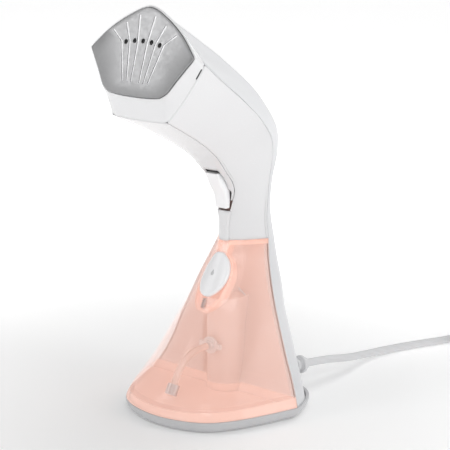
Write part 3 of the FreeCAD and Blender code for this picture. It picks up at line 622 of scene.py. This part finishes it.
def build_underside():
    """Panel under the head with the trigger's opening, and the strip that goes on below it."""
    probe = 6  # a point near the middle of a row, which tells how high the row is
    rows = shell_rows(-EDGE, EDGE, SHELL_POINTS)
    upper = [row for row in rows if row[probe].z > PANEL_LOW]
    lower = [row for row in rows if row[probe].z <= STRIP_TOP]
    panel = grid(upper)
    hole = [face for face in panel.faces
            if face.calc_center_median().z < OPENING_TOP * MM
            and abs(face.calc_center_median().x) < OPENING_HALF * MM]
    bmesh.ops.delete(panel, geom=hole, context="FACES")
    build_shell("underside_panel", panel, "white_shell", "underside_cover", SHELL_WALL)
    build_shell("strip_below_trigger", grid(lower), "white_shell", "front_strip", STRIP_WALL)


def build_shells():
    ring_size = len(body_ring(HEAD_END))
    build_side_shells(ring_size)
    build_back_cover(ring_size)
    build_underside()


# ---------------------------------------------------------------- head
def plate_outline(margin):
    """The plate's six-sided outline in its own plane, grown by a margin."""
    down, up, half_width = 33.5, 34.5, 51.0
    half = [(0.0, -down), (14.0, 0.3 - down), (25.0, 1.4 - down), (31.2, 5.2 - down),
            (35.6, 11.6 - down), (43.5, -10.6), (half_width, 0.0), (35.5, 15.8),
            (17.5, 27.8), (0.0, up)]
    return push(half + mirrored(half[1:-1])[::-1], margin)


def on_plate(x, t, behind):
    """A point of the plate's tilted plane, x across and t up it, or behind it."""
    y = PLATE_EARS[0] + t * math.sin(PLATE_TILT) + behind * math.cos(PLATE_TILT)
    z = PLATE_EARS[1] + t * math.cos(PLATE_TILT) - behind * math.sin(PLATE_TILT)
    return Vector((x, y, z))


def four_sides(ring, low, side):
    """Resample a closed outline so that its corners stay at the same places."""
    count = len(ring)
    spans = ((-low, low, BOTTOM_POINTS), (low, side, SIDE_POINTS),
             (side, count - side, TOP_POINTS), (count - side, count - low, SIDE_POINTS))
    line = []
    for first, last, points in spans:
        line += smooth_line(ring_slice(ring, first, last), points)[:-1]
    return line


def plate_ring(margin, behind):
    """The plate's outline in space, with as many points as the head's end has."""
    ring = [on_plate(x, t, behind) for x, t in plate_outline(margin)]
    return four_sides(ring, LOWER_CORNER, SIDE_CORNER)


def build_head():
    """Bezel from the head's end to a rounded rim around the plate."""
    lip = 1.5
    root = four_sides(body_ring(HEAD_END), EDGE, CREASE)
    root_in = [p + (middle_of(root) - p).normalized() * lip for p in root]
    rim = plate_ring(0.9, 3.0)
    rows = [root_in, root]
    rows += [[p.lerp(q, share) for p, q in zip(root, rim)] for share in (0.08, 0.35, 0.65, 0.9)]
    rows += [plate_ring(margin, behind) for margin, behind in (
        (0.9, 2.2), (0.5, 1.4), (-0.2, 1.3), (-0.9, 1.8), (-1.0, 5.0))]
    build_shell("bezel", grid(rows, True), "white_shell", "head_bezel", 0.0)


def groove_outline(side, number):
    """Outline of one fan groove in the plate's plane, number 0 nearest the middle."""
    foot = (side * (4.0 + 4.2 * number), -22.0)
    knee = (side * (4.6 + 8.0 * number), 7.0)
    top = (side * (7.5 + 11.5 * number), 27.0 - 6.2 * number)
    return [(foot[0] - 0.6, foot[1]), (knee[0] - 0.85, knee[1]), (top[0] - 1.0, top[1]),
            (top[0], top[1] + 0.6), (top[0] + 1.0, top[1]), (knee[0] + 0.85, knee[1]),
            (foot[0] + 0.6, foot[1]), (foot[0], foot[1] - 0.5)]


def circle(count):
    """Evenly spaced angles of one turn."""
    return [math.tau * i / count for i in range(count)]


def hole_rings(number):
    """Rings down one drilled hole, number 0 in the middle of the shallow arc of five."""
    x, t = number * HOLE_SPACING, HOLE_ARC_TOP - HOLE_ARC_DROP * number * number
    bore = ((HOLE_R + HOLE_EDGE, 0.0), (HOLE_R, HOLE_EDGE), (HOLE_R, HOLE_DEPTH))
    return [[on_plate(x + radius * math.cos(a), t + radius * math.sin(a), behind)
             for a in circle(24)] for radius, behind in bore]


def groove_rings(side, number):
    """Mouth and floor of one shallow groove, whose sides lean in a little."""
    outline = groove_outline(side, number)
    return [[on_plate(x, t, behind) for x, t in push(outline, margin)]
            for margin, behind in ((0.0, 0.0), (-0.12, GROOVE_DEPTH))]


def build_plate():
    """Steam plate with a rounded edge, five drilled holes and six fan grooves."""
    rim = [(-3.0, 3.2), (-1.0, 3.2), (-0.8, 3.0), (-0.8, 1.3), (-0.92, 0.65), (-1.3, 0.2),
           (-2.0, 0.0)]
    bm = bmesh.new()
    rows = closed_mesh(bm, [plate_ring(margin, behind) for margin, behind in rim], True, False)
    loops = [rows[-1]]
    for number in range(-2, 3):
        loops.append(closed_mesh(bm, hole_rings(number), False, False)[0])
    floors = []
    for side in (-1, 1):
        for number in range(GROOVES_PER_SIDE):
            rows = closed_mesh(bm, groove_rings(side, number), False, False)
            floors.append(bm.faces.new(rows[1]))
            loops.append(rows[0])
    edges = [bm.edges.get(pair) for loop in loops for pair in zip(loop, loop[1:] + loop[:1])]
    bmesh.ops.triangle_fill(bm, use_beauty=True, use_dissolve=False, edges=edges)
    for face in floors:
        face.material_index = 1
    piece = make_object("drilled_steam_plate", bm, "body", "plate_metal", ("steam_plate",))
    piece.data.materials.append(PLATE_GROOVES)
    crisp(piece, 25.0)


# ---------------------------------------------------------------- tank button
def tank_row(station):
    """Points of the tank's outline at one height, from one rear corner to the other."""
    height, front, crease = station
    gap_across, gap_behind, points = 0.2, 0.4, 81
    share = max(0.0, (height - FOOT_TOP) / (SEAM - FOOT_TOP)) ** 1.5
    side, rear = crease[0] - gap_across, crease[1] - gap_behind
    half = [(0.0, front)]
    for (x0, y0), (x1, y1) in zip(TANK_LOW, TANK_HIGH):
        x, y = x0 + (x1 - x0) * share, y0 + (y1 - y0) * share
        half.append((x * side, front + y * (rear - front)))
    half.append((side, rear))
    ring = mirrored(half[1:])[::-1] + half
    return smooth_line([Vector((x, y, height)) for x, y in ring], points)


TANK_ROWS = even_rings([tank_row(station) for station in TANK_STATIONS], TANK_SPACING)


def nose_y(x, z):
    """Where the tank's nose lies at a height and a distance from the middle."""
    upper = next((i for i, row in enumerate(TANK_ROWS) if row[0].z >= z), len(TANK_ROWS) - 1)
    low, high = TANK_ROWS[max(upper - 1, 0)], TANK_ROWS[upper]
    span = high[0].z - low[0].z
    share = (z - low[0].z) / span if span else 0.0
    line = [a.lerp(b, share) for a, b in zip(low, high)]
    for a, b in zip(line, line[1:]):
        if a.x <= x <= b.x:
            return a.y + (b.y - a.y) * (x - a.x) / (b.x - a.x)
    return line[0].y


def on_nose(across, along, out):
    """A point above the sloping nose: across, up the slope from the button's middle, out."""
    up = Vector((0.0, math.cos(BUTTON_SLOPE), math.sin(BUTTON_SLOPE)))
    normal = Vector((0.0, -math.sin(BUTTON_SLOPE), math.cos(BUTTON_SLOPE)))
    gap_per_step = 1.17  # about 1 / sin(BUTTON_SLOPE), the gap along Y for a step outwards
    point = Vector((across, *BUTTON_MID)) + up * along
    for _ in range(4):
        point += normal * ((point.y - nose_y(across, point.z)) / gap_per_step)
    return point + normal * out


def nose_oval(half_length, half_width, out):
    """An oval that follows the nose at some distance above it."""
    return [on_nose(half_width * math.sin(a), half_length * math.cos(a), out)
            for a in circle(48)]


def button_ring(share, out):
    """One ring of the button: near the edge it shrinks evenly, further in it scales."""
    half_width = BUTTON_HALF_WIDTH * share
    near_edge = 0.85
    if share > near_edge:
        return nose_oval(BUTTON_HALF_LENGTH - BUTTON_HALF_WIDTH * (1 - share), half_width, out)
    return nose_oval(BUTTON_HALF_LENGTH * share, half_width, out)


def build_button():
    """Oval release button, its face following the nose, with a small raised drop."""
    rounding = ((0.5, -0.9), (0.97, -0.9), (1.0, -0.6), (1.0, 1.2), (0.985, 1.8), (0.94, 2.3),
                (0.86, 2.55), (0.6, 2.6), (0.3, 2.6), (0.05, 2.6))
    bm = bmesh.new()
    closed_mesh(bm, [button_ring(share, out) for share, out in rounding])
    make_object("oval_release_button", bm, "button", "button_white", ("release_button",))
    shape = [(0.0, 2.6), (0.75, 1.1), (1.3, -0.1), (1.45, -1.1), (1.05, -2.1), (0.0, -2.6)]
    shape += mirrored(shape[-2:0:-1])
    above_middle = 1.0
    bm = bmesh.new()
    closed_mesh(bm, [[on_nose(x * size, t * size + above_middle, out) for x, t in shape]
                     for size, out in ((1.0, 2.45), (1.0, 2.68), (0.8, 2.76))])
    make_object("drop_mark", bm, "button", "foot_grey")


# ---------------------------------------------------------------- trigger and foot
def build_trigger():
    """Curved trigger: its side outline from one flank to the other, with rounded edges."""
    rounding = [(6.2, 1.3), (6.05, 0.75), (5.6, 0.3), (4.9, 0.05), (2.5, 0.0)]
    flanks = mirrored(rounding) + rounding[::-1]
    bm = bmesh.new()
    closed_mesh(bm, [[Vector((x, y, z)) for y, z in push(TRIGGER_SIDE, -inset)]
                     for x, inset in flanks])
    piece = make_object("curved_steam_trigger", bm, "trigger", "button_white",
                        ("steam_trigger",))
    crisp(piece, 50.0)


def foot_row(margin, height):
    """The foot's outline at a height, grown by a margin."""
    half = [(float(x), float(y)) for x, y in FOOT_HALF]
    ring = push(half + mirrored(half[1:-1])[::-1], margin)
    return smooth_line([Vector((x, y, height)) for x, y in ring], 120, True)


def build_foot():
    """Foot that spreads from its sole to a rounded upper edge."""
    bm = bmesh.new()
    rows = ((-8.0, 0.8), (-5.6, 0.8), (-4.9, 1.1), (-4.3, 1.7), (-2.2, 3.2), (-1.1, 5.2),
            (-0.4, 7.4), (-0.1, 9.3), (-0.2, 9.75), (-0.6, 9.95), (-2.4, 9.95), (-2.9, 9.7),
            (-3.1, 8.6))
    closed_mesh(bm, [foot_row(margin, height) for margin, height in rows], True, False)
    make_object("rounded_foot", bm, "body", "foot_grey", ("base_foot",))


def inlay(name, start, end, normal, half_width, body, slot):
    """A thin round-ended bar let into a surface between two points."""
    start, end, normal = Vector(start), Vector(end), Vector(normal).normalized()
    along = (end - start).normalized()
    across = normal.cross(along).normalized()
    steps = 8
    outline = []
    for centre, turn in ((end, 0.0), (start, math.pi)):
        for i in range(steps + 1):
            angle = turn + math.pi * (0.5 - i / steps)
            outline.append(centre + (along * math.cos(angle) + across * math.sin(angle))
                           * half_width)
    below, above = -0.6, 0.06
    bm = bmesh.new()
    closed_mesh(bm, [[p + normal * out for p in outline] for out in (below, above)])
    crisp(make_object(name, bm, body, slot), 40.0)


def build_marks():
    """Black bars as painted shade of the snap slots' openings beside the bezel and under the
    head, and the tank's fill mark.
    """
    # The snap slots are painted shade: thin black inlays on the surface where the openings are
    # dark.
    for side, name in ((1, "snap_slot_right"), (-1, "snap_slot_left")):
        inlay(name, (side * 48.4, -57.9, 285.4), (side * 45.6, -59.8, 279.2),
              (side * 0.92, -0.16, -0.36), 0.7, "body", "component_black")
    inlay("snap_slot_under", (-2.2, -40.6, 229.3), (2.2, -40.6, 229.3), (0.0, -0.46, -0.89),
          0.6, "body", "component_black")
    inlay("fill_mark", (20.9, 20.1, 99.3), (26.2, 21.6, 94.1), (0.64, -0.61, 0.47), 0.35,
          "tank", "foot_grey")


def rib_profile(number):
    """Places and radii along one slot of the tapering guard."""
    low = 11.0 + 4.4 * number
    core = 4.5
    radius = 6.6 - 0.05 * low
    return [(low - 0.3, radius), (low, radius - 0.25), (low + 0.1, core), (low + 1.7, core),
            (low + 1.8, radius - 0.3), (low + 2.1, radius - 0.1)]


def build_guard():
    """Ribbed cord guard with its flange and nose, turned about the cord's line.

    The profile gives places along the guard and the radius there.
    """
    start, after = Vector(CORD_LEAD[0]), Vector(CORD_LEAD[1])
    way = (after - start).normalized()
    across = way.cross(Vector((0, 0, 1))).normalized()
    over = across.cross(way)
    profile = [(0.0, 3.6), (0.0, 6.4), (0.3, 6.6)]
    for number in range(3):
        profile += rib_profile(number)
    profile += [(22.4, 5.5), (22.5, 7.0), (22.9, 7.5), (23.4, 7.6), (24.6, 7.6), (25.2, 7.4),
                (25.5, 6.8), (25.7, 5.4), (26.0, 5.05), (29.4, 4.95), (29.9, 4.6), (30.0, 3.9),
                (29.8, 3.45)]
    rings = []
    for place, radius in profile:
        centre = start + way * (place - GUARD_LENGTH)
        rings.append([centre + (across * math.cos(a) + over * math.sin(a)) * radius
                      for a in circle(40)])
    bm = bmesh.new()
    closed_mesh(bm, rings, True, False)
    piece = make_object("ribbed_cord_guard", bm, "body", "cord_grey", ("cord_guard",))
    crisp(piece, 40.0)
    return piece


# ---------------------------------------------------------------- cord
def coil_points():
    """Turns of the coil, two side by side and four high, joined by the ramps between."""
    points = []
    x, y = COIL_CENTRE
    side_step = CORD_D / 2 + 0.1
    inner, outer = COIL_R - side_step, COIL_R + side_step
    highest = COIL_LOW + (COIL_ROWS - 1) * COIL_ROW_STEP
    start = math.atan2(CORD_LEAD[-1][1] - y, CORD_LEAD[-1][0] - x)
    last = 2 * COIL_ROWS * TURN_POINTS - TURN_POINTS // 2
    for i in range(1, last):
        turn = i / TURN_POINTS
        row, part = divmod(turn, 2)
        ramp = min(max((part - 0.75) / 0.5, 0.0), 1.0)
        rise = min(max((part - 1.75) / 0.25, 0.0), 1.0)
        share = ramp if row % 2 == 0 else 1 - ramp
        radius = outer + (inner - outer) * share
        angle = start - math.tau * turn
        points.append((x + radius * math.cos(angle), y + radius * math.sin(angle),
                       min(COIL_LOW + (row + rise) * COIL_ROW_STEP, highest)))
    return points


def build_tie():
    """A strap round the coil's bundle, at its far side from the steamer.

    Its outlines give distances from the bundle's middle and heights.
    """
    angle, half_width, thickness = math.radians(62.0), 5.0, 0.7
    outward = Vector((math.cos(angle), math.sin(angle), 0.0))
    along = Vector((-math.sin(angle), math.cos(angle), 0.0))
    centre = Vector((*COIL_CENTRE, 0.0)) + outward * COIL_R
    inner = [(-7.2, 2.2), (-6.4, 0.6), (-4.5, 0.25), (4.5, 0.25), (6.4, 0.6), (7.2, 2.2),
             (7.2, 25.4), (6.3, 27.3), (4.5, 27.9), (-4.5, 27.9), (-6.3, 27.3), (-7.2, 25.4)]
    outer = [(r, max(z, 0.03)) for r, z in push(inner, thickness)]
    around = ((inner, -1), (outer, -1), (outer, 1), (inner, 1), (inner, -1))
    bm = bmesh.new()
    closed_mesh(bm, [[centre + outward * r + along * side * half_width + Vector((0, 0, z))
                      for r, z in outline] for outline, side in around], False, False)
    bmesh.ops.remove_doubles(bm, verts=bm.verts, dist=1e-6)
    tie = make_object("coil_tie", bm, "body", "component_black")
    crisp(tie, 50.0)
    return tie


def build_cord():
    """The whole mains cord as one curve, from the guard through the coil to the plug."""
    data = bpy.data.curves.new("mains_cord", "CURVE")
    data.dimensions = "3D"
    data.bevel_depth = CORD_D / 2 * MM
    data.bevel_resolution = 5
    data.resolution_u = 8
    data.use_fill_caps = True
    route = CORD_LEAD[:-1] + coil_points() + CORD_TAIL
    spline = data.splines.new("NURBS")
    spline.points.add(len(route) - 1)
    for point, place in zip(spline.points, route):
        point.co = (*(c * MM for c in place), 1.0)
    spline.order_u = 3
    spline.use_endpoint_u = True
    cord = bpy.data.objects.new("mains_cord", data)
    bpy.context.scene.collection.objects.link(cord)
    data.materials.append(PAINTS["cord_grey"])
    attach(cord, "body")
    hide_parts("cord_lead", "cord_tail", "cord_coil")
    length = measure(cord)
    print("cord length", round(length, 4))
    build_guard()
    build_tie()


def measure(curve):
    """Length of a curve's own line, without its thickness."""
    data = curve.data.copy()
    data.bevel_depth = 0.0
    bare = bpy.data.objects.new("bare", data)
    mesh = bpy.data.meshes.new_from_object(bare)
    length = sum((mesh.vertices[a].co - mesh.vertices[b].co).length for a, b in
                 (edge.vertices for edge in mesh.edges))
    bpy.data.objects.remove(bare)
    bpy.data.meshes.remove(mesh)
    return length


place_camera()
studio()
paint_frame()
build_cord()
build_shells()
build_head()
build_plate()
build_button()
build_trigger()
build_foot()
build_marks()
